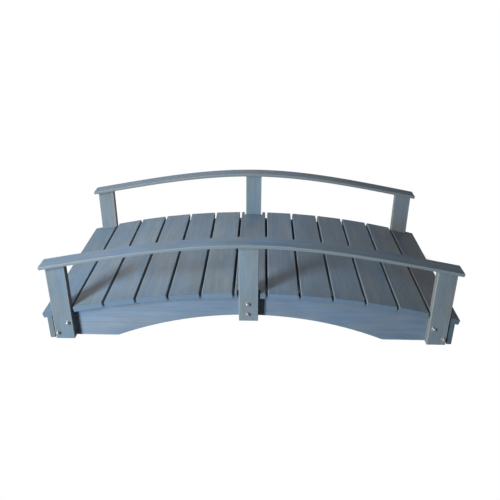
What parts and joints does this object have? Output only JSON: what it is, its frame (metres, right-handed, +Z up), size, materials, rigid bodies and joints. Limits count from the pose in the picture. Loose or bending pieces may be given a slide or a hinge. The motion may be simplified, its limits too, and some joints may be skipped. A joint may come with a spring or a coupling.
{
  "type": "small moon bridge for a garden",
  "caption": "Small arched wooden footbridge: curved plank deck on arched side boards, with a low bent rail on posts along each side.",
  "frame": {"origin": "on the ground, under the middle of the deck", "axes": "+X along the bridge to the right, +Y across it away from the viewer, +Z up"},
  "size_m": [1.4992, 0.789, 0.3995],
  "materials": {
    "deck_wood": "blue-grey stained softwood, matt, grain along each plank",
    "side_wood": "blue-grey stained softwood, matt, grain along the board",
    "post_wood": "blue-grey stained softwood, matt, grain upright",
    "rail_wood": "blue-grey stained softwood, matt, grain along the lath",
    "bolts": "zinc plated steel, satin"
  },
  "bodies": {
    "root": {"end_board_left": "side_wood", "end_board_right": "side_wood", "plank_01": "deck_wood", "plank_02": "deck_wood", "plank_03": "deck_wood", "plank_04": "deck_wood", "plank_05": "deck_wood", "plank_06": "deck_wood", "plank_07": "deck_wood", "plank_08": "deck_wood", "plank_09": "deck_wood", "plank_10": "deck_wood", "plank_11": "deck_wood", "plank_12": "deck_wood", "plank_13": "deck_wood", "post_back_left": "post_wood", "post_back_middle": "post_wood", "post_back_right": "post_wood", "post_front_left": "post_wood", "post_front_middle": "post_wood", "post_front_right": "post_wood", "rail_back": "rail_wood", "rail_front": "rail_wood", "stringer_back": "side_wood", "stringer_front": "side_wood"}
  },
  "joints": []
}
